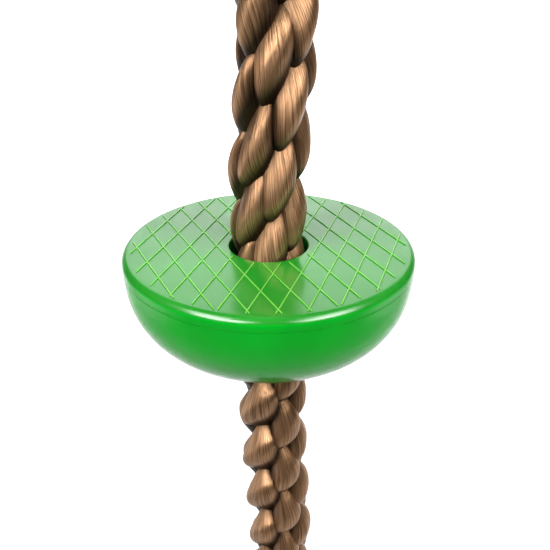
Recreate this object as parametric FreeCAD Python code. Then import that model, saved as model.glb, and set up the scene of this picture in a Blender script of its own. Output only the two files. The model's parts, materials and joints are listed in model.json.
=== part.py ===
import FreeCAD, Part
import math
import os

from FreeCAD import Rotation, Vector

os.makedirs("parts", exist_ok=True)

# A climbing rope with a round foot platform, hung from a beam. Millimetres, +Z up. The origin is the centre
# of the hanger's upper face, which bolts under the beam, so everything hangs below it. X runs left to right
# across the front, and Y runs from the front to the back.

X_AXIS = Vector(1, 0, 0)
Y_AXIS = Vector(0, 1, 0)
Z_AXIS = Vector(0, 0, 1)

# Clearances
MOVING_GAP = 0.3        # between faces of bodies that move past each other
RUNNING_GAP = 0.05      # radial, between a pin and the bore that turns on it

# Hanger bracket
PLATE_LENGTH = 92.0
PLATE_WIDTH = 52.0
PLATE_THICKNESS = 5.0
PLATE_CORNER = 9.0
BEAM_HOLE_RADIUS = 4.5
BEAM_HOLE_SPACING_X = 70.0
BEAM_HOLE_SPACING_Y = 30.0
EAR_GAP = 24.0
EAR_THICKNESS = 5.0
EAR_ROOT_WIDTH = 44.0
EAR_END_RADIUS = 14.0
PLATE_EDGE_RADIUS = 1.2
PIVOT_Z = -26.0
PIVOT_RADIUS = 6.0
PIVOT_FLATS = 19.0
PIVOT_HEAD_HEIGHT = 7.5
PIVOT_NUT_HEIGHT = 10.0
PIVOT_TAIL = 3.0
PIVOT_WASHER_RADIUS = 12.0
PIVOT_WASHER_THICKNESS = 2.0

# Hanger link
BARREL_RADIUS = 12.0
BARREL_LENGTH = 22.0
BARREL_CHAMFER = 1.0
LINK_NECK_WIDTH = 16.0
LINK_NECK_ROUND = 3.0
BUSH_WALL = 2.0
BUSH_FLANGE = 0.7
BUSH_FLANGE_REACH = 3.0

# The two eyes that the carabiner passes through: round bar bent to a ring, with its hole along X
EYE_RING_RADIUS = 14.0
EYE_BAR_RADIUS = 5.0
LINK_EYE_Z = PIVOT_Z - 32.0

# Oval carabiner, its plane across the front
CARABINER_BAR_RADIUS = 5.0
CARABINER_BOW_RADIUS = 20.0
CARABINER_LEG = 50.0
GATE_RADIUS = 4.5
GATE_TONGUE_HALF = 2.0
GATE_RIVET_RADIUS = 1.5
GATE_HINGE_RISE = 6.0
GATE_TIP_GAP = 0.5
FORK_SLOT_GAP = 0.8
SPRING_BORE = 2.2
SPRING_LENGTH = 12.0
SPRING_WIRE = 0.3
SPRING_PITCH = 1.5
NOSE_HALF = 1.5
NOSE_INNER_REACH = 2.4
NOSE_OUTER_REACH = 3.5
NOSE_LENGTH = 6.0
NECK_LENGTH = 5.3
SLEEVE_RADIUS = 7.6
SLEEVE_LENGTH = 25.0
SLEEVE_TRAVEL = 10.5     # up to lock; it is shown backed off
SLEEVE_CHAMFER = 0.8
SLEEVE_FLUTES = 16
SLEEVE_FLUTE_RADIUS = 0.9
SLEEVE_PLAIN_END = 4.0

# Swivel
SHANK_RADIUS = 7.0
COLLAR_RADIUS = 13.0
COLLAR_THICKNESS = 4.0
SWIVEL_NUT_FLATS = 22.0
SWIVEL_NUT_HEIGHT = 12.0
SWIVEL_BUSH_WALL = 2.5
SWIVEL_BUSH_FLANGE = 2.0
THRUST_WASHER = 2.0
SHANK_TIP_CHAMFER = 1.0
SHANK_TAIL = 2.4
SWIVEL_TO_ROPE = 3.0

# Rope and the cups on its two ends
ROPE_RADIUS = 15.5
SOCKET_WALL = 4.0
SOCKET_CROWN = 8.0
SOCKET_GRIP = 46.0
SOCKET_SHOULDER = 7.0
SOCKET_LIP = 1.8
SOCKET_MOUTH_ROUND = 2.0
SOCKET_BOSS_RADIUS = 7.0
SOCKET_BOSS_RISE = 1.5
SOCKET_BOLT_RADIUS = 3.0
SOCKET_BOLT_FLATS = 10.0
SOCKET_BOLT_HEAD = 4.0
SOCKET_NUT_HEIGHT = 5.0
SOCKET_BOLT_TAIL = 2.0
UPPER_BOLT_DROP = 13.0
LOWER_BOLT_DROP = 31.0
ROPE_ABOVE_TREAD = 106.0
ROPE_BELOW_TREAD = 204.0
BOOT_LENGTH = 32.0
BOOT_WALL = 3.0
BOOT_FLOOR = 4.0
BOOT_CORNER = 7.0
BOOT_GROOVES = 3
BOOT_GROOVE_RADIUS = 0.7
BOOT_GROOVE_SPACING = 3.0
BAND_DROP = 3.0
BAND_WIDTH = 9.0
BAND_THICKNESS = 0.8
BAND_EAR_WIDTH = 8.0
BAND_EAR_RISE = 2.4

# Foot platform
TREAD_RADIUS = 60.0
TREAD_EDGE_RADIUS = 3.2
TREAD_THICKNESS = 3.5
SEAM_DEPTH = 5.5
PLATFORM_DEPTH = 46.0
BOWL_SQUARENESS = 2.57
BOWL_WALL = 3.0
BOWL_FLOOR = 4.0
BOWL_CORE = 5.0         # radius of the flat at the middle of the bowl's floor, inside the rope hole
ROPE_HOLE_RADIUS = 16.2
HOLE_EDGE_RADIUS = 0.8
COLLAR_WALL = 2.7
SPIGOT_GAP = 0.6
SPIGOT_DEPTH = 10.0
SPIGOT_THICKNESS = 2.0
RIDGE_SPACING = 10.0
RIDGE_HALF_ANGLE = 22.0
RIDGE_TURN = 4.0
RIDGE_WIDTH = 0.8
RIDGE_HEIGHT = 0.45
RIDGE_FIELD_RADIUS = 56.5
PILLAR_CIRCLE = 33.0
PILLAR_RADIUS = 6.5
COVER_BOSS_RADIUS = 5.0
PILLAR_TOP = -20.0
SCREW_SEAT = -33.0
SCREW_RADIUS = 2.0
SCREW_HEAD_RADIUS = 4.0
SCREW_HEAD_HEIGHT = 3.0
SCREW_LENGTH = 23.5
SCREW_POINT = 1.0
SCREW_HEAD_ROUND = 1.0
SCREW_DRIVE_WIDTH = 1.2
SCREW_DRIVE_DEPTH = 1.2
SCREW_HOLE_GAP = 0.2
COUNTERBORE_RADIUS = 4.6
RIB_COUNT = 8
RIB_THICKNESS = 2.0

# Rope clamp inside the platform
CLAMP_TOP = -14.0
CLAMP_HEIGHT = 18.0
CLAMP_RADIUS = 23.5
CLAMP_SPLIT = 1.5
CLAMP_TOOTH = 0.8
CLAMP_TOOTH_HALF = 1.4
CLAMP_TOOTH_SPACING = 5.0
CLAMP_FLANGE_REACH = 35.0
CLAMP_FLANGE_THICKNESS = 7.0
CLAMP_FLANGE_INSET = 3.0
CLAMP_BOLT_Y = 28.5
CLAMP_BOLT_RADIUS = 2.5
CLAMP_BOLT_FLATS = 8.0
CLAMP_BOLT_HEAD = 3.5
CLAMP_NUT_HEIGHT = 4.0
CLAMP_BOLT_TAIL = 1.0

# Heights worked out from those, top to bottom
CARABINER_TOP = LINK_EYE_Z - EYE_RING_RADIUS + EYE_BAR_RADIUS + CARABINER_BAR_RADIUS + MOVING_GAP
UPPER_BOW_Z = CARABINER_TOP - CARABINER_BOW_RADIUS
LOWER_BOW_Z = UPPER_BOW_Z - CARABINER_LEG
CARABINER_BOTTOM = LOWER_BOW_Z - CARABINER_BOW_RADIUS
GATE_HINGE_Z = LOWER_BOW_Z + GATE_HINGE_RISE
NOSE_Z = UPPER_BOW_Z - NECK_LENGTH
GATE_TIP_Z = NOSE_Z - GATE_TIP_GAP
SLEEVE_TOP = NOSE_Z - NOSE_LENGTH - 2.5 * MOVING_GAP
SWIVEL_EYE_Z = CARABINER_BOTTOM + CARABINER_BAR_RADIUS + MOVING_GAP - EYE_RING_RADIUS + EYE_BAR_RADIUS
COLLAR_TOP = SWIVEL_EYE_Z - EYE_RING_RADIUS - EYE_BAR_RADIUS - 2 * MOVING_GAP
CROWN_TOP = COLLAR_TOP - COLLAR_THICKNESS - MOVING_GAP
CROWN_UNDERSIDE = CROWN_TOP - SOCKET_CROWN
BUSH_UNDERSIDE = CROWN_UNDERSIDE - SWIVEL_BUSH_FLANGE
WASHER_TOP = BUSH_UNDERSIDE - MOVING_GAP
NUT_TOP = WASHER_TOP - THRUST_WASHER
SHANK_TIP = NUT_TOP - SWIVEL_NUT_HEIGHT - SHANK_TAIL
ROPE_TOP = SHANK_TIP - SWIVEL_TO_ROPE
SOCKET_MOUTH = ROPE_TOP - SOCKET_GRIP
TREAD_Z = SOCKET_MOUTH - ROPE_ABOVE_TREAD
BOOT_TOP = TREAD_Z - ROPE_BELOW_TREAD
BOOT_BOTTOM = BOOT_TOP - BOOT_LENGTH
ROPE_BOTTOM = BOOT_BOTTOM + BOOT_FLOOR
BAND_TOP = BOOT_TOP - BAND_DROP
CLAMP_FLOOR = CLAMP_TOP - CLAMP_HEIGHT
CLAMP_MIDDLE = CLAMP_TOP - CLAMP_HEIGHT / 2

# Other sizes worked out from them
PIVOT_SEAT = EAR_GAP / 2 + EAR_THICKNESS + PIVOT_WASHER_THICKNESS
GATE_X = CARABINER_BOW_RADIUS
FORK_TOP = GATE_HINGE_Z + GATE_RADIUS + FORK_SLOT_GAP
SOCKET_RADIUS = ROPE_RADIUS + SOCKET_WALL
SOCKET_BOSS_REACH = SOCKET_RADIUS + SOCKET_BOSS_RISE
SOCKET_BOLTS = [(X_AXIS, ROPE_TOP - UPPER_BOLT_DROP), (Y_AXIS, ROPE_TOP - LOWER_BOLT_DROP)]
BOOT_RADIUS = ROPE_RADIUS + BOOT_WALL
CLAMP_BOLT_SEAT = CLAMP_SPLIT / 2 + CLAMP_FLANGE_THICKNESS

# The rope is pulled straight between its socket and its lower end, so its route is one run.
ROPE_ROUTE = [Vector(0, 0, ROPE_TOP), Vector(0, 0, ROPE_BOTTOM)]


def rod(radius, start, end):
    """A cylinder from one point to another."""
    run = end.sub(start)
    return Part.makeCylinder(radius, run.Length, start, run)


def tube(outer, inner, start, end):
    """A straight tube from one point to another."""
    return rod(outer, start, end).cut(rod(inner, start, end))


def block(low, high):
    """A box between two opposite corners."""
    size = high.sub(low)
    return Part.makeBox(size.x, size.y, size.z, low)


def turned(shape, degrees, centre=Vector(0, 0, 0), axis=Z_AXIS):
    """A copy of the shape, turned about an axis through the centre."""
    copy = shape.copy()
    copy.rotate(centre, axis, degrees)
    return copy


def upright_edges(shape, axis=Z_AXIS):
    """The edges that run along an axis."""
    return [edge for edge in shape.Edges if abs(edge.tangentAt(edge.FirstParameter).dot(axis)) > 0.9]


def along(shape, position, axis):
    """A shape built up from the origin along +Z, set at a position with that direction along another axis."""
    copy = shape.copy()
    copy.Placement = FreeCAD.Placement(position, Rotation(Z_AXIS, axis))
    return copy


def lathe(points):
    """A solid of revolution about Z, from the corners (radius, height) of its section."""
    corners = [Vector(radius, 0, height) for radius, height in points]
    section = Part.Face(Part.makePolygon(corners + corners[:1]))
    return section.revolve(Vector(0, 0, 0), Z_AXIS, 360)


def lathe_edges(edges):
    """A solid of revolution about Z, from the joined edges of its section."""
    section = Part.Face(Part.Wire(edges))
    return section.revolve(Vector(0, 0, 0), Z_AXIS, 360)


def line(start, end):
    """A straight edge in the section plane, between two corners (radius, height)."""
    return Part.LineSegment(Vector(start[0], 0, start[1]), Vector(end[0], 0, end[1])).toShape()


def section_arc(centre, radius, start_degrees, end_degrees):
    """An arc in the section plane, by its centre, its radius and the angles of its two ends."""
    def at(degrees):
        angle = math.radians(degrees)
        return Vector(centre[0] + radius * math.cos(angle), 0, centre[1] + radius * math.sin(angle))

    middle = (start_degrees + end_degrees) / 2
    return Part.Arc(at(start_degrees), at(middle), at(end_degrees)).toShape()


def hexagon(across_flats, height, chamfer=0.8):
    """A hexagonal head or nut blank from the origin up along Z, with its top corners turned down."""
    corner = across_flats / math.sqrt(3)
    corners = [
        Vector(corner * math.cos(math.radians(60 * k)), corner * math.sin(math.radians(60 * k)), 0)
        for k in range(7)
    ]
    prism = Part.Face(Part.makePolygon(corners)).extrude(Vector(0, 0, height))
    turned_blank = lathe([
        (0, 0),
        (corner, 0),
        (corner, height - chamfer),
        (corner - 2 * chamfer, height),
        (0, height),
    ])
    return prism.common(turned_blank)


def hex_bolt(radius, across_flats, head_height, grip):
    """A bolt with its head under the origin and its shank up along Z."""
    head = turned(hexagon(across_flats, head_height), 180, axis=X_AXIS)
    tip = 0.6
    shank = lathe([(0, 0), (radius, 0), (radius, grip - tip), (radius - tip, grip), (0, grip)])
    return head.fuse(shank).removeSplitter()


def hex_nut(radius, across_flats, height):
    """A nut from the origin up along Z."""
    return hexagon(across_flats, height).cut(rod(radius, Vector(0, 0, -1), Vector(0, 0, height + 1)))


def save(name, solids):
    """Write one node: a single solid, or a group of separate solids."""
    shape = solids[0] if len(solids) == 1 else Part.makeCompound(solids)
    if len(shape.Solids) == 1:
        shape = shape.Solids[0]
    shape.exportStep(f"parts/{name}.step")
    print(f"{name}: {len(shape.Solids)} solid(s), {shape.Volume / 1000:.2f} cm3, valid {shape.isValid()}")


# ---- Hanger: bracket, pivot bolt and link ----

def hanger_ear(side):
    """One ear of the bracket, a tapered tab with a round end about the pivot bolt."""
    near = side * EAR_GAP / 2
    root = EAR_ROOT_WIDTH / 2
    top_z = -PLATE_THICKNESS
    height = top_z - PIVOT_Z
    # Each side is tangent to the round end. This is the touching point's angle above +X, about the pivot.
    touch = math.atan2(height, root) - math.acos(EAR_END_RADIUS / math.hypot(root, height))
    end_x = EAR_END_RADIUS * math.cos(touch)
    end_z = PIVOT_Z + EAR_END_RADIUS * math.sin(touch)
    outline = [
        Part.LineSegment(Vector(-root, near, top_z), Vector(root, near, top_z)).toShape(),
        Part.LineSegment(Vector(root, near, top_z), Vector(end_x, near, end_z)).toShape(),
        Part.Arc(
            Vector(end_x, near, end_z),
            Vector(0, near, PIVOT_Z - EAR_END_RADIUS),
            Vector(-end_x, near, end_z),
        ).toShape(),
        Part.LineSegment(Vector(-end_x, near, end_z), Vector(-root, near, top_z)).toShape(),
    ]
    return Part.Face(Part.Wire(outline)).extrude(Vector(0, side * EAR_THICKNESS, 0))


def hanger_bracket():
    """The plate that bolts to the beam, with the two ears welded under it."""
    half_x = PLATE_LENGTH / 2
    half_y = PLATE_WIDTH / 2
    plate = block(Vector(-half_x, -half_y, -PLATE_THICKNESS), Vector(half_x, half_y, 0))
    plate = plate.makeFillet(PLATE_CORNER, upright_edges(plate))
    under_rim = [edge for edge in plate.Edges if edge.BoundBox.ZMax < -PLATE_THICKNESS / 2]
    plate = plate.makeFillet(PLATE_EDGE_RADIUS, under_rim)
    bracket = plate.fuse([hanger_ear(1), hanger_ear(-1)])
    reach = EAR_GAP / 2 + EAR_THICKNESS + 1
    bracket = bracket.cut(rod(PIVOT_RADIUS + 0.1, Vector(0, -reach, PIVOT_Z), Vector(0, reach, PIVOT_Z)))
    for x in (-BEAM_HOLE_SPACING_X / 2, BEAM_HOLE_SPACING_X / 2):
        for y in (-BEAM_HOLE_SPACING_Y / 2, BEAM_HOLE_SPACING_Y / 2):
            bracket = bracket.cut(rod(BEAM_HOLE_RADIUS, Vector(x, y, -PLATE_THICKNESS - 1), Vector(x, y, 1)))
    return bracket.removeSplitter()


def pivot_bolt():
    grip = 2 * PIVOT_SEAT + PIVOT_NUT_HEIGHT + PIVOT_TAIL
    bolt = hex_bolt(PIVOT_RADIUS, PIVOT_FLATS, PIVOT_HEAD_HEIGHT, grip)
    return along(bolt, Vector(0, -PIVOT_SEAT, PIVOT_Z), Y_AXIS)


def pivot_nut():
    nut = hex_nut(PIVOT_RADIUS, PIVOT_FLATS, PIVOT_NUT_HEIGHT)
    return along(nut, Vector(0, PIVOT_SEAT, PIVOT_Z), Y_AXIS)


def pivot_washers():
    outer_face = EAR_GAP / 2 + EAR_THICKNESS
    return [
        tube(
            PIVOT_WASHER_RADIUS,
            PIVOT_RADIUS,
            Vector(0, side * outer_face, PIVOT_Z),
            Vector(0, side * PIVOT_SEAT, PIVOT_Z),
        )
        for side in (-1, 1)
    ]


def eye_ring(height):
    """The ring of an eye, its hole along X."""
    return Part.makeTorus(EYE_RING_RADIUS, EYE_BAR_RADIUS, Vector(0, 0, height), X_AXIS)


def hanger_link():
    """A forged link: a barrel on the pivot bolt, a neck, and the eye for the carabiner."""
    half = BARREL_LENGTH / 2
    barrel = rod(BARREL_RADIUS, Vector(0, -half, PIVOT_Z), Vector(0, half, PIVOT_Z))
    rims = [edge for edge in barrel.Edges if edge.Curve.TypeId == "Part::GeomCircle"]
    barrel = barrel.makeChamfer(BARREL_CHAMFER, rims)
    neck = block(
        Vector(-EYE_BAR_RADIUS, -LINK_NECK_WIDTH / 2, LINK_EYE_Z + EYE_RING_RADIUS),
        Vector(EYE_BAR_RADIUS, LINK_NECK_WIDTH / 2, PIVOT_Z),
    )
    neck = neck.makeFillet(LINK_NECK_ROUND, upright_edges(neck))
    link = barrel.fuse([neck, eye_ring(LINK_EYE_Z)])
    bore = PIVOT_RADIUS + RUNNING_GAP + BUSH_WALL
    link = link.cut(rod(bore, Vector(0, -half - 1, PIVOT_Z), Vector(0, half + 1, PIVOT_Z)))
    return link.removeSplitter()


def link_bushes():
    """Two flanged bushes, one from each end of the link's barrel."""
    inner = PIVOT_RADIUS + RUNNING_GAP
    outer = inner + BUSH_WALL
    half = BARREL_LENGTH / 2
    gap = MOVING_GAP / 2
    bush = lathe([
        (inner, gap),
        (outer, gap),
        (outer, half),
        (outer + BUSH_FLANGE_REACH, half),
        (outer + BUSH_FLANGE_REACH, half + BUSH_FLANGE),
        (inner, half + BUSH_FLANGE),
    ])
    centre = Vector(0, 0, PIVOT_Z)
    return [along(bush, centre, Y_AXIS), along(bush, centre, Y_AXIS.negative())]


# ---- Carabiner ----

def bow(centre_z, side):
    """Half a ring of the carabiner's bar, above its centre (side 1) or below it (side -1)."""
    start = Vector(-CARABINER_BOW_RADIUS, 0, centre_z)
    section = Part.Face(Part.Wire(Part.makeCircle(CARABINER_BAR_RADIUS, start, Z_AXIS)))
    return section.revolve(Vector(0, 0, centre_z), Y_AXIS, 180 * side)


def hinge_round(half_thickness):
    """A disc about the gate's hinge, as thick as the piece that it rounds off."""
    centre = Vector(GATE_X, 0, GATE_HINGE_Z)
    return rod(GATE_RADIUS, centre.sub(Y_AXIS * half_thickness), centre.add(Y_AXIS * half_thickness))


def carabiner_body():
    """The bent bar: spine, two bows, the hinge tongue below the gate and the nose above it."""
    spine = rod(
        CARABINER_BAR_RADIUS,
        Vector(-CARABINER_BOW_RADIUS, 0, LOWER_BOW_Z),
        Vector(-CARABINER_BOW_RADIUS, 0, UPPER_BOW_Z),
    )
    shoulder_z = GATE_HINGE_Z - CARABINER_BAR_RADIUS
    stub = rod(CARABINER_BAR_RADIUS, Vector(GATE_X, 0, LOWER_BOW_Z), Vector(GATE_X, 0, shoulder_z))
    tongue = block(
        Vector(GATE_X - GATE_RADIUS, -GATE_TONGUE_HALF, shoulder_z - 0.5),
        Vector(GATE_X + GATE_RADIUS, GATE_TONGUE_HALF, GATE_HINGE_Z),
    )
    tongue = tongue.fuse(hinge_round(GATE_TONGUE_HALF))
    neck = rod(GATE_RADIUS, Vector(GATE_X, 0, NOSE_Z), Vector(GATE_X, 0, UPPER_BOW_Z))
    nose = block(
        Vector(GATE_X - NOSE_INNER_REACH, -NOSE_HALF, NOSE_Z - NOSE_LENGTH),
        Vector(GATE_X + NOSE_OUTER_REACH, NOSE_HALF, NOSE_Z + 0.5),
    )
    body = spine.fuse([bow(UPPER_BOW_Z, 1), bow(LOWER_BOW_Z, -1), stub, tongue, neck, nose])
    body = body.cut(rivet(0))
    return body.removeSplitter()


def rivet(clearance):
    """The gate's hinge rivet, or the hole for it."""
    return rod(
        GATE_RIVET_RADIUS + clearance,
        Vector(GATE_X, -GATE_RADIUS, GATE_HINGE_Z),
        Vector(GATE_X, GATE_RADIUS, GATE_HINGE_Z),
    )


def carabiner_gate():
    """The gate: a bar forked at the hinge, slotted at the tip for the nose, and bored for its spring."""
    bar = rod(GATE_RADIUS, Vector(GATE_X, 0, GATE_HINGE_Z), Vector(GATE_X, 0, GATE_TIP_Z))
    below = rod(GATE_RADIUS, Vector(GATE_X, 0, GATE_HINGE_Z - GATE_RADIUS), Vector(GATE_X, 0, GATE_HINGE_Z))
    gate = bar.fuse(below.common(hinge_round(GATE_RADIUS)))
    past = GATE_RADIUS + 1
    fork_half = GATE_TONGUE_HALF + MOVING_GAP
    fork_slot = block(
        Vector(GATE_X - past, -fork_half, GATE_HINGE_Z - past),
        Vector(GATE_X + past, fork_half, FORK_TOP),
    )
    nose_half = NOSE_HALF + MOVING_GAP
    nose_slot = block(
        Vector(GATE_X - NOSE_INNER_REACH - MOVING_GAP, -nose_half, NOSE_Z - NOSE_LENGTH - 1),
        Vector(GATE_X + past, nose_half, NOSE_Z),
    )
    spring_bore = rod(
        SPRING_BORE,
        Vector(GATE_X, 0, FORK_TOP - 1),
        Vector(GATE_X, 0, FORK_TOP + SPRING_LENGTH),
    )
    gate = gate.cut([fork_slot, nose_slot, rivet(RUNNING_GAP), spring_bore])
    return gate.removeSplitter()


def gate_spring():
    """The small coil spring in the gate, between the hinge tongue and the end of its bore."""
    coil_radius = SPRING_BORE - SPRING_WIRE - MOVING_GAP / 2
    clear_of_ends = SPRING_WIRE + 2 * RUNNING_GAP
    helix = Part.makeHelix(SPRING_PITCH, SPRING_LENGTH - 2 * clear_of_ends, coil_radius)
    profile = Part.Wire(Part.makeCircle(SPRING_WIRE, Vector(coil_radius, 0, 0), Y_AXIS))
    coil = Part.Wire(helix.Edges).makePipeShell([profile], True, True)
    coil.translate(Vector(GATE_X, 0, FORK_TOP + clear_of_ends))
    return coil


def lock_sleeve():
    """The fluted screw sleeve round the gate, shown backed off so that the gate can open."""
    inner = GATE_RADIUS + MOVING_GAP
    edge = SLEEVE_CHAMFER
    top = SLEEVE_TOP
    bottom = SLEEVE_TOP - SLEEVE_LENGTH
    sleeve = lathe([
        (inner, bottom),
        (SLEEVE_RADIUS - edge, bottom),
        (SLEEVE_RADIUS, bottom + edge),
        (SLEEVE_RADIUS, top - edge),
        (SLEEVE_RADIUS - edge, top),
        (inner, top),
    ])
    flute = rod(
        SLEEVE_FLUTE_RADIUS,
        Vector(SLEEVE_RADIUS, 0, bottom + SLEEVE_PLAIN_END),
        Vector(SLEEVE_RADIUS, 0, top - SLEEVE_PLAIN_END),
    )
    sleeve = sleeve.cut([turned(flute, 360 * k / SLEEVE_FLUTES) for k in range(SLEEVE_FLUTES)])
    sleeve.translate(Vector(GATE_X, 0, 0))
    return sleeve


# ---- Swivel ----

def swivel_eye():
    """The eye that hangs on the carabiner, with the collar and shank that the rope's socket turns on."""
    neck_top = SWIVEL_EYE_Z - EYE_RING_RADIUS
    tip = SHANK_TIP_CHAMFER
    shank = lathe([
        (0, neck_top),
        (SHANK_RADIUS, neck_top),
        (SHANK_RADIUS, COLLAR_TOP),
        (COLLAR_RADIUS - 1, COLLAR_TOP),
        (COLLAR_RADIUS, COLLAR_TOP - 1),
        (COLLAR_RADIUS, COLLAR_TOP - COLLAR_THICKNESS),
        (SHANK_RADIUS, COLLAR_TOP - COLLAR_THICKNESS),
        (SHANK_RADIUS, SHANK_TIP + tip),
        (SHANK_RADIUS - tip, SHANK_TIP),
        (0, SHANK_TIP),
    ])
    return eye_ring(SWIVEL_EYE_Z).fuse(shank).removeSplitter()


def thrust_washer():
    return tube(COLLAR_RADIUS, SHANK_RADIUS, Vector(0, 0, NUT_TOP), Vector(0, 0, WASHER_TOP))


def swivel_nut():
    nut = hex_nut(SHANK_RADIUS, SWIVEL_NUT_FLATS, SWIVEL_NUT_HEIGHT)
    return along(nut, Vector(0, 0, NUT_TOP), Z_AXIS.negative())


def swivel_bush():
    """The flanged bush in the socket's crown. It turns on the shank and takes the pull of the washer."""
    inner = SHANK_RADIUS + RUNNING_GAP
    outer = inner + SWIVEL_BUSH_WALL
    return lathe([
        (inner, CROWN_TOP),
        (outer, CROWN_TOP),
        (outer, CROWN_UNDERSIDE),
        (COLLAR_RADIUS, CROWN_UNDERSIDE),
        (COLLAR_RADIUS, BUSH_UNDERSIDE),
        (inner, BUSH_UNDERSIDE),
    ])


# ---- Rope and its ends ----

def rope_socket():
    """The steel cup that holds the rope's upper end, with flat bosses for its two cross bolts."""
    crown_hole = SHANK_RADIUS + RUNNING_GAP + SWIVEL_BUSH_WALL
    shoulder = SOCKET_SHOULDER
    lip = SOCKET_LIP
    mouth = SOCKET_MOUTH_ROUND
    edges = [
        line((crown_hole, CROWN_TOP), (SOCKET_RADIUS - shoulder, CROWN_TOP)),
        section_arc((SOCKET_RADIUS - shoulder, CROWN_TOP - shoulder), shoulder, 90, 0),
        line((SOCKET_RADIUS, CROWN_TOP - shoulder), (SOCKET_RADIUS, SOCKET_MOUTH + 2 * lip)),
        section_arc((SOCKET_RADIUS, SOCKET_MOUTH + lip), lip, 90, -90),
        line((SOCKET_RADIUS, SOCKET_MOUTH), (ROPE_RADIUS + mouth, SOCKET_MOUTH)),
        section_arc((ROPE_RADIUS + mouth, SOCKET_MOUTH + mouth), mouth, 270, 180),
        line((ROPE_RADIUS, SOCKET_MOUTH + mouth), (ROPE_RADIUS, CROWN_UNDERSIDE)),
        line((ROPE_RADIUS, CROWN_UNDERSIDE), (crown_hole, CROWN_UNDERSIDE)),
        line((crown_hole, CROWN_UNDERSIDE), (crown_hole, CROWN_TOP)),
    ]
    socket = lathe_edges(edges)
    bore = rod(ROPE_RADIUS, Vector(0, 0, SOCKET_MOUTH), Vector(0, 0, CROWN_UNDERSIDE))
    for axis, height in SOCKET_BOLTS:
        centre = Vector(0, 0, height)
        start = centre.sub(axis * SOCKET_BOSS_REACH)
        end = centre.add(axis * SOCKET_BOSS_REACH)
        socket = socket.fuse(rod(SOCKET_BOSS_RADIUS, start, end).cut(bore))
        socket = socket.cut(rod(SOCKET_BOLT_RADIUS, start, end))
    return socket.removeSplitter()


def socket_bolts():
    grip = 2 * SOCKET_BOSS_REACH + SOCKET_NUT_HEIGHT + SOCKET_BOLT_TAIL
    bolt = hex_bolt(SOCKET_BOLT_RADIUS, SOCKET_BOLT_FLATS, SOCKET_BOLT_HEAD, grip)
    return [along(bolt, Vector(0, 0, z).sub(axis * SOCKET_BOSS_REACH), axis) for axis, z in SOCKET_BOLTS]


def socket_nuts():
    nut = hex_nut(SOCKET_BOLT_RADIUS, SOCKET_BOLT_FLATS, SOCKET_NUT_HEIGHT)
    return [along(nut, Vector(0, 0, z).add(axis * SOCKET_BOSS_REACH), axis) for axis, z in SOCKET_BOLTS]


def rope():
    solid = rod(ROPE_RADIUS, ROPE_ROUTE[0], ROPE_ROUTE[1])
    length = ROPE_ROUTE[0].distanceToPoint(ROPE_ROUTE[1])
    section = math.pi * ROPE_RADIUS ** 2
    print(f"rope route: one straight run of {length:.1f} mm, no arcs, so no radii")
    print(f"rope volume {solid.Volume:.0f} mm3, section x length {section * length:.0f} mm3")
    return solid


def end_boot():
    """The moulded cup over the rope's lower end, with grip rings round it."""
    outer = BOOT_RADIUS
    corner = BOOT_CORNER
    edges = [
        line((ROPE_RADIUS, BOOT_TOP), (outer - 1, BOOT_TOP)),
        section_arc((outer - 1, BOOT_TOP - 1), 1, 90, 0),
        line((outer, BOOT_TOP - 1), (outer, BOOT_BOTTOM + corner)),
        section_arc((outer - corner, BOOT_BOTTOM + corner), corner, 0, -90),
        line((outer - corner, BOOT_BOTTOM), (0, BOOT_BOTTOM)),
        line((0, BOOT_BOTTOM), (0, ROPE_BOTTOM)),
        line((0, ROPE_BOTTOM), (ROPE_RADIUS, ROPE_BOTTOM)),
        line((ROPE_RADIUS, ROPE_BOTTOM), (ROPE_RADIUS, BOOT_TOP)),
    ]
    boot = lathe_edges(edges)
    for k in range(BOOT_GROOVES):
        height = BAND_TOP - BAND_WIDTH - BOOT_GROOVE_SPACING * (k + 0.8)
        boot = boot.cut(Part.makeTorus(outer, BOOT_GROOVE_RADIUS, Vector(0, 0, height)))
    return boot


def boot_band():
    """The crimped steel band that holds the boot on the rope."""
    inner = BOOT_RADIUS
    outer = inner + BAND_THICKNESS
    low = BAND_TOP - BAND_WIDTH
    band = tube(outer, inner, Vector(0, 0, low), Vector(0, 0, BAND_TOP))
    half = BAND_EAR_WIDTH / 2
    ear = block(Vector(-half, 0, low), Vector(half, outer + BAND_EAR_RISE, BAND_TOP))
    ear = ear.makeFillet(BAND_EAR_RISE / 2, upright_edges(ear))
    ear = ear.cut(rod(inner, Vector(0, 0, low), Vector(0, 0, BAND_TOP)))
    return band.fuse(ear).removeSplitter()


# ---- Foot platform ----

def bowl_curve(radius, depth, inner_radius, start_z):
    """The bowl's section from its wall in to its floor, a squared-off ellipse, as one smooth edge."""
    points = []
    steps = 12
    for k in range(steps + 1):
        angle = math.pi / 2 * k / steps
        reach = inner_radius + (radius - inner_radius) * math.cos(angle) ** (2 / BOWL_SQUARENESS)
        drop = (depth + start_z) * math.sin(angle) ** (2 / BOWL_SQUARENESS)
        points.append(Vector(reach, 0, start_z - drop))
    curve = Part.BSplineCurve()
    curve.interpolate(points)
    return curve.toShape()


def bowl_solid(radius, depth):
    """The filled shape of a bowl below the rim's roundover, with heights measured from the tread's face."""
    start_z = -TREAD_EDGE_RADIUS
    edges = [
        line((0, start_z), (radius, start_z)),
        bowl_curve(radius, depth, BOWL_CORE, start_z),
        line((BOWL_CORE, -depth), (0, -depth)),
        line((0, -depth), (0, start_z)),
    ]
    return lathe_edges(edges)


def pillar_places():
    """The four screw pillars' centres, on the diagonals, clear of the clamp's flanges."""
    first = Vector(PILLAR_CIRCLE * math.sqrt(0.5), PILLAR_CIRCLE * math.sqrt(0.5), 0)
    return [Rotation(Z_AXIS, 90 * k).multVec(first) for k in range(4)]


def at_height(place, z):
    return Vector(place.x, place.y, z)


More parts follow.
